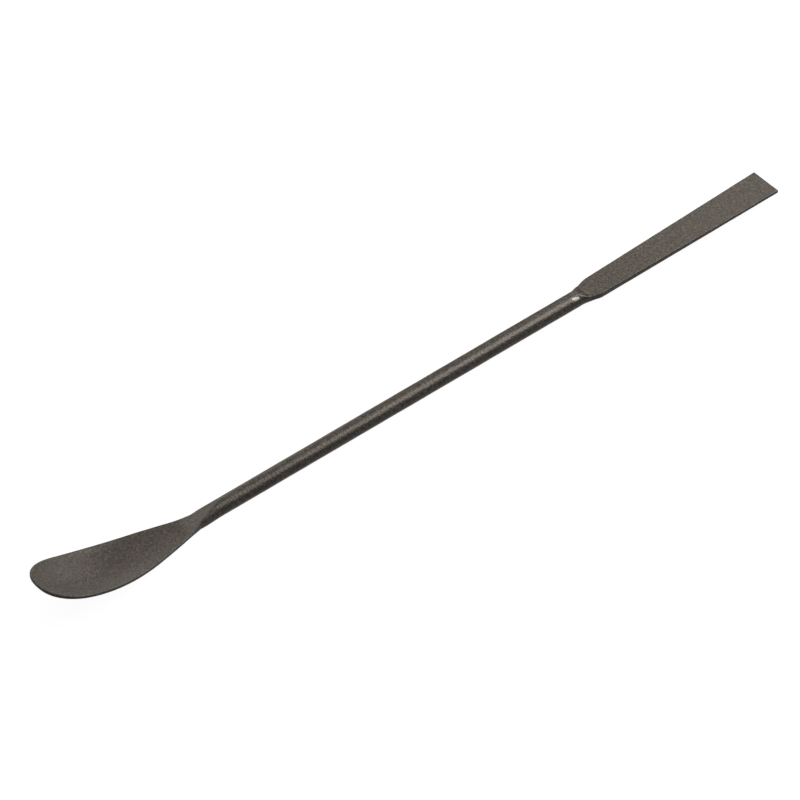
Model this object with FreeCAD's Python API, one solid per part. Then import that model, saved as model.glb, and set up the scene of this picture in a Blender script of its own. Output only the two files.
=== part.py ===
"""Double-ended micro spatula: a 4 mm steel rod forged into a shallow spoon at one
end and a thin square-tipped blade at the other, under one continuous coat.

Frame: millimetres, +Z up. The origin is on the rod's axis at the middle of the
round grip. +X runs towards the blade tip, and the spoon opens upwards. The part is
symmetric about the XZ plane.

The steel is written as three solids that meet face to face (spoon_end, grip_rod,
blade_end), and nonstick_coat is the film that wraps all three. Every shape function
takes `coat`, the thickness of coat over the bare steel: 0 gives the steel and
coat_thickness gives the coated outer surface.
"""

import math
import os

import FreeCAD, Part

# ---- driving dimensions, bare steel ----
coat_thickness = 0.1
rod_radius = 2.0
grip_half_length = 56.0

# spoon, along -X; the half-width is widest at spoon_widest_x
spoon_tip_x = -110.1
spoon_widest_x = -98.4
spoon_half_width = 7.98
spoon_taper_end_x = -63.0
nose_fullness = 2.5
spoon_sheet = 0.8
spoon_edge_radius = 0.18
neck_end_x = -68.0
neck_floor_z = 0.1
spoon_rise_slope = 0.02
spoon_bend_x = -79.5
spoon_bend_radius = 62.0
dish_radius = 21.5

# blade, along +X; past the rod the top is pressed down and the bottom lifts, each in
# its own length, while the sides spread
press_length = 3.2
lift_length = 4.6
spread_start_x = 56.4
spread_length = 5.9
shoulder_end_x = 65.0
blade_tip_x = 118.2
root_half_width = 3.28
root_top_z = 0.89
root_bottom_z = -0.38
tip_half_width = 4.33
tip_top_z = 2.06
tip_bottom_z = 1.42
blade_edge_radius = 0.08

# how finely the free-form shapes are described
nose_points = 9
taper_points = 9
floor_step = 2.0
dish_stations = 7
section_count = 16
shoulder_section_count = 20
flat_half_angle = math.radians(5.0)
past_outline = 3.0
cut_height = 40.0


def vector(x, y, z):
    return FreeCAD.Vector(x, y, z)


def smooth_step(t):
    """0 to 1 with level ends."""
    return t * t * (3.0 - 2.0 * t)


def blend(start, end, t):
    return start + (end - start) * t


# ---- sections across the rod's axis ----
def closed_wire(corners, flats):
    """Eight edges: a flat, then the corner that follows it, four times over."""
    edges = []
    for index, (start, middle, end) in enumerate(corners):
        previous_end = corners[index - 1][2]
        curve = Part.BezierCurve()
        curve.setPoles([previous_end, flats[index], start])
        edges.append(curve.toShape())
        edges.append(Part.Arc(start, middle, end).toShape())
    return Part.Wire(edges)


def round_section(x, radius):
    """A circle, split where the neighbouring rounded sections have their corners."""
    def on_circle(angle, reach=radius):
        return vector(x, reach * math.cos(angle), reach * math.sin(angle))

    corners = []
    edges = []
    for quarter in range(4):
        start = quarter * math.pi / 2 + flat_half_angle
        end = (quarter + 1) * math.pi / 2 - flat_half_angle
        corners.append((on_circle(start), on_circle((start + end) / 2), on_circle(end)))
    for quarter, (start, middle, end) in enumerate(corners):
        flat_middle = on_circle(quarter * math.pi / 2)
        edges.append(Part.Arc(corners[quarter - 1][2], flat_middle, start).toShape())
        edges.append(Part.Arc(start, middle, end).toShape())
    return Part.Wire(edges)


def rounded_section(x, half_width, top_z, bottom_z, radii, camber):
    """A rounded rectangle whose top and bottom both curve up by camber * y^2.
    radii gives the radius of the two top corners, then of the two bottom ones."""
    corners = []
    for side, level, turn in ((1, 1, 0), (-1, 1, 1), (-1, -1, 0), (1, -1, 1)):
        radius = radii[0] if level > 0 else radii[1]
        inner_y = half_width - radius
        centre_y = side * inner_y
        edge_z = top_z if level > 0 else bottom_z
        centre_z = edge_z + camber * inner_y ** 2 - level * radius
        diagonal = radius * math.sqrt(0.5)
        at_side = vector(x, centre_y + side * radius, centre_z)
        at_middle = vector(x, centre_y + side * diagonal, centre_z + level * diagonal)
        at_level = vector(x, centre_y, centre_z + level * radius)
        ends = (at_level, at_side) if turn else (at_side, at_level)
        corners.append((ends[0], at_middle, ends[1]))
    side_z = (corners[0][0].z + corners[3][2].z) / 2
    flats = [
        vector(x, half_width, side_z),
        vector(x, 0, 2 * top_z - corners[0][2].z),
        vector(x, -half_width, side_z),
        vector(x, 0, 2 * bottom_z - corners[2][2].z),
    ]
    return closed_wire(corners, flats)


def end_wire(solid, x):
    """The outline of the solid's plane end at x, for a loft to carry on from."""
    near = 1e-4
    for face in solid.Faces:
        box = face.BoundBox
        if abs(box.XMin - x) < near and abs(box.XMax - x) < near:
            return face.OuterWire
    raise ValueError("no plane end at x = %.2f" % x)


# ---- spoon ----
def spoon_half_width_at(x, coat):
    """Half-width of the spoon's outline: a full rounded nose, then a cosine taper."""
    tip_x = spoon_tip_x - coat
    widest = spoon_half_width + coat
    if x <= spoon_widest_x:
        along = min(1.0, (spoon_widest_x - x) / (spoon_widest_x - tip_x))
        return widest * (1.0 - along ** nose_fullness) ** (1.0 / nose_fullness)
    narrow = rod_radius + coat
    along = min(1.0, (x - spoon_widest_x) / (spoon_taper_end_x - spoon_widest_x))
    return narrow + (widest - narrow) * math.cos(along * math.pi / 2)


def spoon_floor_z(x):
    """Height of the spoon's top face on its centreline: level, then bent up."""
    bent = max(0.0, spoon_bend_x - x)
    arc = spoon_bend_radius - math.sqrt(spoon_bend_radius ** 2 - bent ** 2)
    return neck_floor_z + spoon_rise_slope * (neck_end_x - x) + arc


def spoon_floor_slope(x):
    bent = max(0.0, spoon_bend_x - x)
    return spoon_rise_slope + bent / math.sqrt(spoon_bend_radius ** 2 - bent ** 2)


def spoon_face(coat, below):
    """The dished top face, or with below > 0 the face that far under it."""
    columns = []
    x = spoon_tip_x - past_outline
    while x < neck_end_x + floor_step:
        column = []
        for station in range(-dish_stations, dish_stations + 1):
            y = station * (spoon_half_width + past_outline) / dish_stations
            steepness = math.sqrt(1 + spoon_floor_slope(x) ** 2 + (y / dish_radius) ** 2)
            film = -coat if below else coat
            z = spoon_floor_z(x) - below + y ** 2 / (2 * dish_radius) + film * steepness
            column.append(vector(x, y, z))
        columns.append(column)
        x += floor_step
    surface = Part.BSplineSurface()
    surface.interpolate(columns)
    return surface.toShape()


def spoon_outline(coat):
    """Plan outline as a face, from the neck round the nose and back."""
    half = []
    for i in range(taper_points):
        x = blend(neck_end_x, spoon_widest_x, i / taper_points)
        half.append((x, spoon_half_width_at(x, coat)))
    for i in range(nose_points):
        angle = i / nose_points * math.pi / 2
        x = spoon_widest_x
        x -= (spoon_widest_x - spoon_tip_x + coat) * math.sin(angle) ** (2 / nose_fullness)
        half.append((x, (spoon_half_width + coat) * math.cos(angle) ** (2 / nose_fullness)))
    there = [vector(x, -y, 0) for x, y in half]
    back = [vector(x, y, 0) for x, y in reversed(half)]
    curve = Part.BSplineCurve()
    curve.interpolate(there + [vector(spoon_tip_x - coat, 0, 0)] + back)
    closing = Part.LineSegment(back[-1], there[0])
    return Part.Face(Part.Wire([curve.toShape(), closing.toShape()]))


def spoon_bowl(coat):
    blank = spoon_outline(coat)
    blank.translate(vector(0, 0, -cut_height / 2))
    blank = blank.extrude(vector(0, 0, cut_height))
    above = spoon_face(coat, 0).extrude(vector(0, 0, cut_height))
    under = spoon_face(coat, spoon_sheet).extrude(vector(0, 0, -cut_height))
    sheet = blank.cut(above).cut(under)
    rim = []
    for edge in sheet.Edges:
        box = edge.BoundBox
        if box.XMin < spoon_widest_x and box.XLength > floor_step:
            rim.append(edge)
    return sheet.makeFillet(spoon_edge_radius + coat, rim)


def neck_sections(coat):
    """Rod circle to flat sheet, without the last one."""
    sections = [round_section(-grip_half_length, rod_radius + coat)]
    sheet_radius = spoon_edge_radius
    for i in range(1, section_count):
        t = i / section_count
        x = blend(-grip_half_length, neck_end_x, t)
        flat = smooth_step(t)
        top = blend(rod_radius, spoon_floor_z(x), flat) + coat
        bottom = blend(-rod_radius, spoon_floor_z(x) - spoon_sheet, flat) - coat
        corner = blend(rod_radius, sheet_radius, 1 - (1 - flat) ** 2) + coat
        width = spoon_half_width_at(x, coat)
        sections.append(
            rounded_section(x, width, top, bottom, (corner, corner), flat / (2 * dish_radius)))
    return sections


def spoon_end(coat):
    bowl = spoon_bowl(coat)
    neck = Part.makeLoft(neck_sections(coat) + [end_wire(bowl, neck_end_x)], True, False)
    return bowl.fuse(neck).removeSplitter()


# ---- blade ----
def blade_line(x, root, tip):
    return blend(root, tip, (x - shoulder_end_x) / (blade_tip_x - shoulder_end_x))


def flat_blade(coat):
    """The plane-faced blade, with its long edges and its tip's edges rounded."""
    root_side = root_half_width + coat
    tip_x = blade_tip_x + coat
    tip_side = blade_line(tip_x, root_half_width, tip_half_width) + coat
    wedge = Part.makeWedge(
        -root_side, shoulder_end_x, root_bottom_z - coat,
        blade_line(tip_x, root_bottom_z, tip_bottom_z) - coat, -tip_side,
        root_side, tip_x, root_top_z + coat,
        blade_line(tip_x, root_top_z, tip_top_z) + coat, tip_side)
    wedge.rotate(vector(0, 0, 0), vector(0, 0, 1), -90)
    rim = [edge for edge in wedge.Edges if edge.BoundBox.XMax > shoulder_end_x + coat]
    return wedge.makeFillet(blade_edge_radius + coat, rim)


def shoulder_sections(coat):
    """Rod circle to blade, without the last one."""
    sections = [round_section(grip_half_length, rod_radius + coat)]
    for i in range(1, shoulder_section_count):
        x = blend(grip_half_length, shoulder_end_x, i / shoulder_section_count)
        press = smooth_step(min(1.0, (x - grip_half_length) / press_length))
        lift = smooth_step(min(1.0, (x - grip_half_length) / lift_length))
        spread = smooth_step(min(1.0, max(0.0, (x - spread_start_x) / spread_length)))
        top = blend(rod_radius, blade_line(x, root_top_z, tip_top_z), press) + coat
        bottom = blend(-rod_radius, blade_line(x, root_bottom_z, tip_bottom_z), lift) - coat
        width = blend(rod_radius, blade_line(x, root_half_width, tip_half_width), spread) + coat
        radii = [blend(rod_radius, blade_edge_radius, 1 - (1 - flat) ** 2) + coat
                 for flat in (press, spread)]
        sections.append(rounded_section(x, width, top, bottom, radii, 0.0))
    return sections


def blade_end(coat):
    blade = flat_blade(coat)
    shoulder = Part.makeLoft(
        shoulder_sections(coat) + [end_wire(blade, shoulder_end_x)], True, False)
    return blade.fuse(shoulder).removeSplitter()


# ---- rod and coat ----
def grip_rod(coat):
    start = vector(-grip_half_length, 0, 0)
    return Part.makeCylinder(rod_radius + coat, 2 * grip_half_length, start, vector(1, 0, 0))


def whole_tool(coat):
    return spoon_end(coat).fuse([grip_rod(coat), blade_end(coat)]).removeSplitter()


def nonstick_coat():
    return whole_tool(coat_thickness).cut(whole_tool(0.0))


def main():
    os.makedirs("parts", exist_ok=True)
    nodes = {
        "spoon_end": spoon_end(0.0),
        "grip_rod": grip_rod(0.0),
        "blade_end": blade_end(0.0),
        "nonstick_coat": nonstick_coat(),
    }
    for name, shape in nodes.items():
        box = shape.BoundBox
        print(name, shape.ShapeType, "valid", shape.isValid(), "solids", len(shape.Solids),
              "volume %.2f" % shape.Volume,
              "x %.2f %.2f y %.2f %.2f z %.2f %.2f" % (
                  box.XMin, box.XMax, box.YMin, box.YMax, box.ZMin, box.ZMax))
        shape.Solids[0].exportStep("parts/%s.step" % name)


main()
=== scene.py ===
"""Looks of a double-ended coated micro spatula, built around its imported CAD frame.

The three steel nodes stay as the CAD made them and get a steel material. The CAD
coat is replaced by one closed skin with the same form, whose grain, slight hand-made
unevenness and worn spot are real geometry. Skin sizes are in millimetres until the
mesh is written in metres.
"""

import math

import bpy
import numpy as np
from mathutils import Matrix, Vector, noise


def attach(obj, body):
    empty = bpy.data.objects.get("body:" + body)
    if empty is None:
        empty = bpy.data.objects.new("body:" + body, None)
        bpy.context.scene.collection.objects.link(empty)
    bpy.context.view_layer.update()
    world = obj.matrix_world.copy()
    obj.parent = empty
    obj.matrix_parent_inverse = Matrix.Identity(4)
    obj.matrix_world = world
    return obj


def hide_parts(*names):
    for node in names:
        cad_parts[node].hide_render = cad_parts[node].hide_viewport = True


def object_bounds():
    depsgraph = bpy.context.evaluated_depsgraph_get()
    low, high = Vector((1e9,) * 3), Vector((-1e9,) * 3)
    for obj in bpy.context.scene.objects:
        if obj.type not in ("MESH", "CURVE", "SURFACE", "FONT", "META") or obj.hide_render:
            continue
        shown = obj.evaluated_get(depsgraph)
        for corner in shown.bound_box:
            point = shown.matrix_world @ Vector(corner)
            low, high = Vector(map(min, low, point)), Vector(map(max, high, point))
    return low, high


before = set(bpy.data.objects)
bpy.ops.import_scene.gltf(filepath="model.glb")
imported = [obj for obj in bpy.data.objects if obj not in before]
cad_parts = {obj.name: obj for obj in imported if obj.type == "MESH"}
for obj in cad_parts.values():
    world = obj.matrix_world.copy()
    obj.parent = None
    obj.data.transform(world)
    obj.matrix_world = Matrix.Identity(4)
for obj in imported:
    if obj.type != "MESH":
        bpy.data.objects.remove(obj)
cad_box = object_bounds()

MM = 0.001
tiny = 1e-6
smallest_cross = 1e-9

# ---- form of the steel, in millimetres, as in the CAD ----
coat = 0.1
rod_radius = 2.0
grip_half_length = 56.0
spoon_tip_x = -110.1
spoon_widest_x = -98.4
spoon_half_width = 7.98
spoon_taper_end_x = -63.0
nose_fullness = 2.5
spoon_sheet = 0.8
spoon_edge_radius = 0.18
neck_end_x = -68.0
neck_floor_z = 0.1
spoon_rise_slope = 0.02
spoon_bend_x = -79.5
spoon_bend_radius = 62.0
dish_radius = 21.5
press_length = 3.2
lift_length = 4.6
spread_start_x = 56.4
spread_length = 5.9
shoulder_end_x = 65.0
blade_tip_x = 118.2
root_half_width, tip_half_width = 3.28, 4.33
root_top_z, tip_top_z = 0.89, 2.06
root_bottom_z, tip_bottom_z = -0.38, 1.42
blade_edge_radius = 0.08

# ---- skin mesh, steps in millimetres and columns to each quarter of a section ----
rod_step = 0.33
end_step = 0.29
nose_steps = 60
nose_bunching = 1.3
nose_measuring_steps = 2000
slope_step = 0.001
tip_round_steps = 5
flat_columns = 22
corner_columns = 6
side_columns = 2
quarter = flat_columns + corner_columns + side_columns
columns = 4 * quarter

# ---- surface of the coat, in millimetres: two layers of relief, and the worn spot in
# lengths along the rod and round it ----
wave_height, wave_spacing = 0.022, 6.0
grain_height, grain_spacing = 0.016, 0.55
worn_middle = (55.0, 1.3)
worn_direction = (0.96, 0.28)
worn_half_size = (1.6, 0.55)
worn_depth = 0.17
worn_ragged_share, worn_ragged_spacing = 0.35, 0.5
worn_edge_steepness = 2.0


def smooth_step(t):
    t = np.clip(t, 0.0, 1.0)
    return t * t * (3.0 - 2.0 * t)


def blend(start, end, t):
    return start + (end - start) * t


def neck_at(x):
    """0 at the rod, 1 where the neck has become the spoon's sheet."""
    return smooth_step((-grip_half_length - x) / (-grip_half_length - neck_end_x))


def press_at(x):
    return smooth_step((x - grip_half_length) / press_length)


def lift_at(x):
    return smooth_step((x - grip_half_length) / lift_length)


def spread_at(x):
    return smooth_step((x - spread_start_x) / spread_length)


def blade_line(x, root, tip):
    return blend(root, tip, (x - shoulder_end_x) / (blade_tip_x - shoulder_end_x))


def half_width_at(x):
    widest = spoon_half_width + coat
    narrow = rod_radius + coat
    along = np.clip((spoon_widest_x - x) / (spoon_widest_x - spoon_tip_x + coat), 0, 1)
    nose = widest * (1 - along ** nose_fullness) ** (1 / nose_fullness)
    along = np.clip((x - spoon_widest_x) / (spoon_taper_end_x - spoon_widest_x), 0, 1)
    taper = narrow + (widest - narrow) * np.cos(along * math.pi / 2)
    straight = blade_line(x, root_half_width, tip_half_width)
    blade = blend(rod_radius, straight, spread_at(x)) + coat
    return np.where(x > 0, blade, np.where(x < spoon_widest_x, nose, taper))


def surface_z(x, y, level):
    """Height of the coated top (level 1) or bottom (level -1) face in plan."""
    bent = np.clip(spoon_bend_x - x, 0, None)
    root = np.sqrt(spoon_bend_radius ** 2 - bent ** 2)
    floor = neck_floor_z + spoon_rise_slope * (neck_end_x - x) + spoon_bend_radius - root
    slope = spoon_rise_slope + bent / root
    neck = neck_at(x)
    film = blend(1.0, np.sqrt(1 + slope ** 2 + (y / dish_radius) ** 2), neck) * coat
    if level < 0:
        floor = floor - spoon_sheet
        flat = blade_line(x, root_bottom_z, tip_bottom_z)
        change = lift_at(x)
    else:
        flat = blade_line(x, root_top_z, tip_top_z)
        change = press_at(x)
    dish = neck * y ** 2 / (2 * dish_radius)
    spoon = blend(level * rod_radius, floor, neck) + dish + level * film
    blade = blend(level * rod_radius, flat, change) + level * coat
    return np.where(x < 0, spoon, blade)


def corner_radius_at(x, level):
    if x < 0:
        return blend(rod_radius, spoon_edge_radius, 1 - (1 - neck_at(x)) ** 2) + coat
    change = press_at(x) if level > 0 else spread_at(x)
    return blend(rod_radius, blade_edge_radius, 1 - (1 - change) ** 2) + coat


# ---- skin: a closed grid of rows across the tool and columns round each section ----
def stations():
    """(x, inset) of each row; inset rounds off the blade's tip."""
    angle = np.linspace(0.0, math.pi / 2, nose_measuring_steps)
    nose_x = spoon_widest_x - ((spoon_widest_x - spoon_tip_x + coat)
                               * np.cos(angle) ** (2 / nose_fullness))
    reach = np.hypot(np.diff(nose_x), np.diff(half_width_at(nose_x)))
    reach = np.concatenate([[0.0], np.cumsum(reach)])
    wanted = np.linspace(0.0, 1.0, nose_steps, endpoint=False)[1:] ** nose_bunching
    rows = [(x, 0.0) for x in np.interp(wanted * reach[-1], reach, nose_x)]
    edge = blade_edge_radius + coat
    rounding_x = blade_tip_x + coat - edge
    for start, end, step in ((spoon_widest_x, -grip_half_length, end_step),
                             (-grip_half_length, grip_half_length, rod_step),
                             (grip_half_length, rounding_x, end_step)):
        count = int(round((end - start) / step))
        rows += [(blend(start, end, i / count), 0.0) for i in range(count)]
    for angle in np.linspace(0.0, math.pi / 2, tip_round_steps + 1):
        rows.append((rounding_x + edge * math.sin(angle), edge * (1 - math.cos(angle))))
    return rows


def outline_normal(x):
    """Outward direction of the outline in plan; straight sideways past the spoon."""
    if x > neck_end_x:
        return 0.0, 1.0
    ahead = x if x < spoon_widest_x else x + slope_step
    behind = x - slope_step
    slope = (half_width_at(ahead) - half_width_at(behind)) / (ahead - behind)
    return -slope / math.hypot(slope, 1.0), 1.0 / math.hypot(slope, 1.0)


def column_lengths(x, flat, corner, side):
    """Distance from the middle of the face round to each column."""
    stops = np.concatenate([
        np.linspace(0, 1, flat_columns + 1) * flat,
        flat + np.linspace(0, 1, corner_columns + 1)[1:] * corner,
        flat + corner + np.linspace(0, 1, side_columns + 1)[1:] * side])
    even = np.linspace(0, flat + corner + side, len(stops))
    away = smooth_step((abs(x) - grip_half_length) / (shoulder_end_x - grip_half_length))
    return blend(even, stops, away)


def quarter_section(x, inset, level):
    """Points from the middle of the top or bottom face out to the middle of the side."""
    normal_x, normal_y = outline_normal(x)
    half_width = float(half_width_at(x)) - inset
    arcs = {}
    for side in (1, -1):
        radius = corner_radius_at(x, side) - inset
        rim = float(surface_z(x, half_width, side))
        inner = float(surface_z(x - normal_x * radius, half_width - normal_y * radius, side))
        slope = side * (rim - inner) / max(radius, tiny)
        centre = side * (rim - side * inset) - radius * (slope + math.hypot(1, slope))
        arcs[side] = radius, math.pi / 2 + math.atan(slope), centre
    radius, sweep, centre = arcs[level]
    middle = (centre - arcs[-level][2]) / 2
    reach = radius * (1 - math.cos(sweep))
    inner_x = x - normal_x * reach
    inner_y = max(half_width - normal_y * reach, 0.0)
    points = []
    corner = radius * sweep
    for length in column_lengths(x, inner_y, corner, max(centre - middle, 0.0)):
        if length < inner_y:
            points.append((inner_x, length, surface_z(inner_x, length, level) - level * inset))
            continue
        turn = sweep - min((length - inner_y) / max(radius, tiny), sweep)
        back = radius * (1 - math.cos(turn))
        drop = max(length - inner_y - corner, 0.0)
        points.append((x - normal_x * back, half_width - normal_y * back,
                       level * (centre + radius * math.sin(turn) - drop)))
    return points


def skin_points():
    rows = []
    for x, inset in stations():
        top = quarter_section(x, inset, 1)
        bottom = quarter_section(x, inset, -1)
        half = top + bottom[-2::-1]
        rows.append(half + [(px, -py, pz) for px, py, pz in half[-2:0:-1]])
    return np.array(rows, dtype=float)


def grid_normals(points):
    along = np.gradient(points, axis=0)
    around = np.roll(points, -1, axis=1) - np.roll(points, 1, axis=1)
    normals = np.cross(along, around)
    return normals / np.maximum(np.linalg.norm(normals, axis=2, keepdims=True), smallest_cross)


def relief(point):
    """How far the coat stands out or has worn in at a point, in millimetres."""
    height = wave_height * noise.noise(point / wave_spacing)
    height += grain_height * noise.noise(point / grain_spacing)
    along = point.x - worn_middle[0]
    around = rod_radius * math.atan2(-point.y, point.z) - worn_middle[1]
    first = (along * worn_direction[0] + around * worn_direction[1]) / worn_half_size[0]
    second = (around * worn_direction[0] - along * worn_direction[1]) / worn_half_size[1]
    ragged = 1.0 + worn_ragged_share * noise.noise(point / worn_ragged_spacing)
    worn = smooth_step(worn_edge_steepness * (1.0 - ragged * math.hypot(first, second)))
    return height - worn_depth * float(worn)


def skin_mesh(name):
    points = skin_points()
    offsets = [relief(Vector(point)) for point in points.reshape(-1, 3)]
    points += grid_normals(points) * np.array(offsets).reshape(points.shape[:2] + (1,))
    count = len(points)
    faces = []
    for row in range(count - 1):
        for column in range(columns):
            after = (column + 1) % columns
            faces.append((row * columns + column, (row + 1) * columns + column,
                          (row + 1) * columns + after, row * columns + after))
    for row in (0, count - 1):
        for step in range(-quarter, quarter):
            ring = [step % columns, (step + 1) % columns,
                    (2 * quarter - step - 1) % columns, (2 * quarter - step) % columns]
            ring = [row * columns + column for column in dict.fromkeys(ring)]
            faces.append(tuple(reversed(ring) if row else ring))
    mesh = bpy.data.meshes.new(name)
    mesh.from_pydata((points.reshape(-1, 3) * MM).tolist(), [], faces)
    mesh.validate()
    mesh.update()
    return mesh


# ---- materials: noise scales are blobs to a metre, bump distances are metres ----
coat_dark = (0.004, 0.0032, 0.0026)
coat_middle = (0.010, 0.008, 0.0063)
coat_light = (0.021, 0.017, 0.0134)
coat_stops = (0.32, 0.5, 0.68)
coat_specular = 0.15
coat_roughness, coat_plain_roughness = (0.32, 0.46), 0.42
grain_scale, grain_detail = 1700, 3
grain_bump = (1.0, 0.00007)
speck_scale, speck_detail = 4200, 2
speck_bump = (0.6, 0.00002)
steel_colour = (0.20, 0.195, 0.185)
steel_roughness, steel_plain_roughness = (0.72, 0.86), 0.8
line_scale, line_detail = 900, 4
line_stretch = (0.15, 1.0, 1.0)
line_bump = (0.4, 0.00002)
floor_colour = (0.02, 0.02, 0.02)
floor_roughness = 0.9
floor_glow = 0.965
noise_low, noise_high = 0.3, 0.7


def new_material(name, colour, roughness, metallic):
    """A plain material; a texture may take over its colour and roughness later."""
    material = bpy.data.materials.new(name)
    material.use_nodes = True
    shader = material.node_tree.nodes["Principled BSDF"]
    shader.inputs["Base Color"].default_value = (*colour, 1.0)
    shader.inputs["Roughness"].default_value = roughness
    shader.inputs["Metallic"].default_value = metallic
    return material, material.node_tree, shader


def add_noise(tree, scale, detail, stretch=(1, 1, 1)):
    """Noise in the object's own metres, about 1 / scale across each blob."""
    place = tree.nodes.new("ShaderNodeTexCoord")
    mapping = tree.nodes.new("ShaderNodeMapping")
    mapping.inputs["Scale"].default_value = stretch
    texture = tree.nodes.new("ShaderNodeTexNoise")
    texture.inputs["Scale"].default_value = scale
    texture.inputs["Detail"].default_value = detail
    tree.links.new(place.outputs["Object"], mapping.inputs["Vector"])
    tree.links.new(mapping.outputs["Vector"], texture.inputs["Vector"])
    return texture.outputs["Fac"]


def add_ramp(tree, source, stops):
    ramp = tree.nodes.new("ShaderNodeValToRGB")
    for element, (position, colour) in zip(ramp.color_ramp.elements, (stops[0], stops[-1])):
        element.position = position
        element.color = (*colour, 1)
    for position, colour in stops[1:-1]:
        ramp.color_ramp.elements.new(position).color = (*colour, 1)
    tree.links.new(source, ramp.inputs["Fac"])
    return ramp.outputs["Color"]


def add_range(tree, source, low, high):
    """Spreads the middle of a noise over low to high."""
    spread = tree.nodes.new("ShaderNodeMapRange")
    spread.inputs["From Min"].default_value = noise_low
    spread.inputs["From Max"].default_value = noise_high
    spread.inputs["To Min"].default_value = low
    spread.inputs["To Max"].default_value = high
    tree.links.new(source, spread.inputs["Value"])
    return spread.outputs["Result"]


def add_bump(tree, shader, layers):
    """Stacks bump layers, each (height, strength, distance in metres)."""
    normal = None
    for height, strength, distance in layers:
        bump = tree.nodes.new("ShaderNodeBump")
        bump.inputs["Strength"].default_value = strength
        bump.inputs["Distance"].default_value = distance
        tree.links.new(height, bump.inputs["Height"])
        if normal:
            tree.links.new(normal, bump.inputs["Normal"])
        normal = bump.outputs["Normal"]
    tree.links.new(normal, shader.inputs["Normal"])


def coat_material():
    material, tree, shader = new_material("nonstick_coat", coat_middle, coat_plain_roughness, 0.0)
    shader.inputs["Specular IOR Level"].default_value = coat_specular
    grain = add_noise(tree, grain_scale, grain_detail)
    speck = add_noise(tree, speck_scale, speck_detail)
    stops = list(zip(coat_stops, (coat_dark, coat_middle, coat_light)))
    tree.links.new(add_ramp(tree, grain, stops), shader.inputs["Base Color"])
    tree.links.new(add_range(tree, speck, *coat_roughness), shader.inputs["Roughness"])
    add_bump(tree, shader, [(grain, *grain_bump), (speck, *speck_bump)])
    return material


def steel_material():
    material, tree, shader = new_material("forged_steel", steel_colour, steel_plain_roughness, 1.0)
    lines = add_noise(tree, line_scale, line_detail, line_stretch)
    tree.links.new(add_range(tree, lines, *steel_roughness), shader.inputs["Roughness"])
    add_bump(tree, shader, [(lines, *line_bump)])
    return material


def floor_material():
    """A white board that glows by itself, as a light table does, so no shadow shows."""
    material, _, shader = new_material("light_table", floor_colour, floor_roughness, 0.0)
    shader.inputs["Specular IOR Level"].default_value = 0.0
    shader.inputs["Emission Color"].default_value = (1, 1, 1, 1)
    shader.inputs["Emission Strength"].default_value = floor_glow
    return material


# ---- object ----
steel = steel_material()
for node in ("spoon_end", "grip_rod", "blade_end"):
    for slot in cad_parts[node].material_slots:
        slot.material = steel

skin = bpy.data.objects.new("coat_skin", skin_mesh("coat_skin"))
bpy.context.collection.objects.link(skin)
skin.data.shade_smooth()
skin.data.materials.append(coat_material())
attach(skin, "root")
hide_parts("nonstick_coat")

# ---- studio, in metres and watts ----
camera_height_angle = math.radians(43.36)
camera_side_angle = math.radians(40.44)
camera_distance = 2.0
camera_target = Vector((0.00023, 0.0, 0.00056))
view_width = 0.1911
sensor_width = 36.0
world_strength = 0.18
light_colour = (1.0, 0.943, 0.873)
floor_reach = 8.0
camera_clip_end = 30.0

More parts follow.
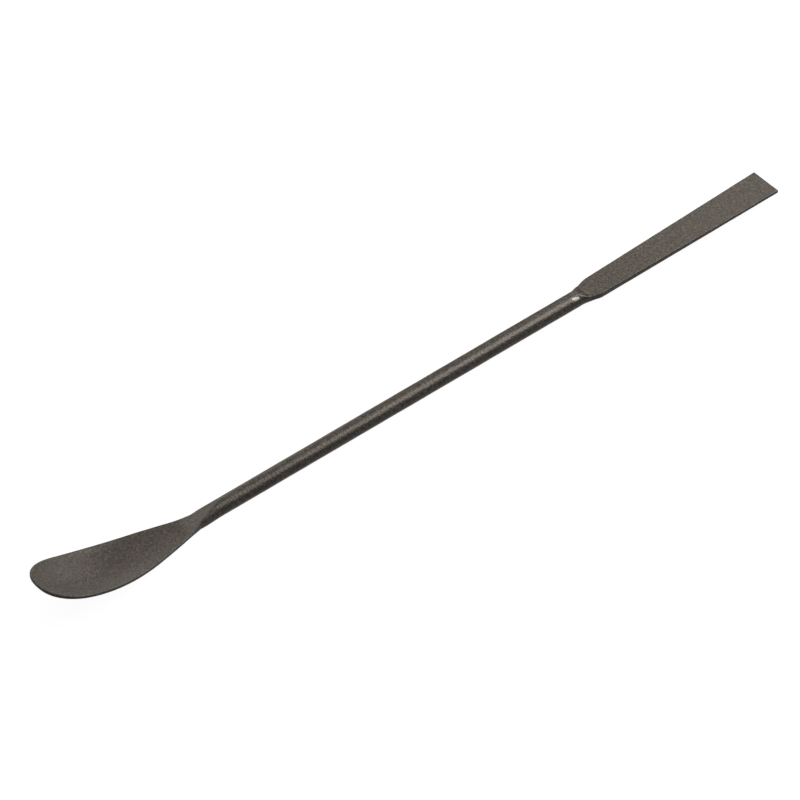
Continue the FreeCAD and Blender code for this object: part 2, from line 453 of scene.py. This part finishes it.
# name, aimed at x, direction out to it, distance, size, power; the two rear ones are
# only there for views from behind
lights = (
    ("key", 0.097, (0.472, -0.35, 0.81), 0.4, (0.2, 0.32), 6.0),
    ("back", 0.12, (0.47, 0.55, 0.69), 0.28, (0.12, 0.25), 0.58),
    ("neck", -0.066, (0.1, 0.55, 0.82), 0.35, (0.2, 0.22), 1.12),
    ("rear", 0.03, (-0.5, -0.4, 0.77), 0.5, (0.25, 0.25), 1.3),
    ("rear_far", 0.03, (-0.5, 0.5, 0.7), 0.5, (0.25, 0.25), 1.3),
    ("far", -0.085, (0.45, 0.85, 0.28), 0.3, (0.15, 0.15), 0.19),
)


def stage_floor():
    mesh = bpy.data.meshes.new("studio_floor")
    level = min(cad_box[0][2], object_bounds()[0][2])
    corners = ((-1, -1), (1, -1), (1, 1), (-1, 1))
    mesh.from_pydata([(floor_reach * x, floor_reach * y, level) for x, y in corners],
                     [], [(0, 1, 2, 3)])
    mesh.materials.append(floor_material())
    floor = bpy.data.objects.new("studio_floor", mesh)
    bpy.context.collection.objects.link(floor)


def add_area_light(name, target_x, direction, distance, size, power):
    """A soft box aimed at the rod's axis; size is along the rod, then across it."""
    light = bpy.data.lights.new(name, "AREA")
    light.shape = "RECTANGLE"
    light.size, light.size_y = size
    light.energy = power
    light.color = light_colour
    lamp = bpy.data.objects.new(name, light)
    bpy.context.collection.objects.link(lamp)
    lamp.visible_camera = False
    outward = Vector(direction).normalized()
    along = (Vector((1, 0, 0)) - outward * outward.x).normalized()
    across = outward.cross(along)
    lamp.rotation_euler = Matrix((along, across, outward)).transposed().to_euler()
    lamp.location = Vector((target_x, 0, 0)) + distance * outward


def add_camera():
    data = bpy.data.cameras.new("camera")
    data.sensor_width = sensor_width
    data.lens = sensor_width * camera_distance / view_width
    data.clip_end = camera_clip_end
    camera = bpy.data.objects.new("camera", data)
    bpy.context.collection.objects.link(camera)
    outward = Vector((
        -math.cos(camera_height_angle) * math.sin(camera_side_angle),
        -math.cos(camera_height_angle) * math.cos(camera_side_angle),
        math.sin(camera_height_angle)))
    camera.location = camera_target + camera_distance * outward
    camera.rotation_euler = outward.to_track_quat("Z", "Y").to_euler()
    bpy.context.scene.camera = camera


def add_world():
    world = bpy.data.worlds.new("studio")
    world.use_nodes = True
    background = world.node_tree.nodes["Background"]
    background.inputs["Color"].default_value = (1, 1, 1, 1)
    background.inputs["Strength"].default_value = world_strength
    bpy.context.scene.world = world


stage_floor()
add_camera()
add_world()
for light in lights:
    add_area_light(*light)
bpy.context.scene.view_settings.view_transform = "Standard"
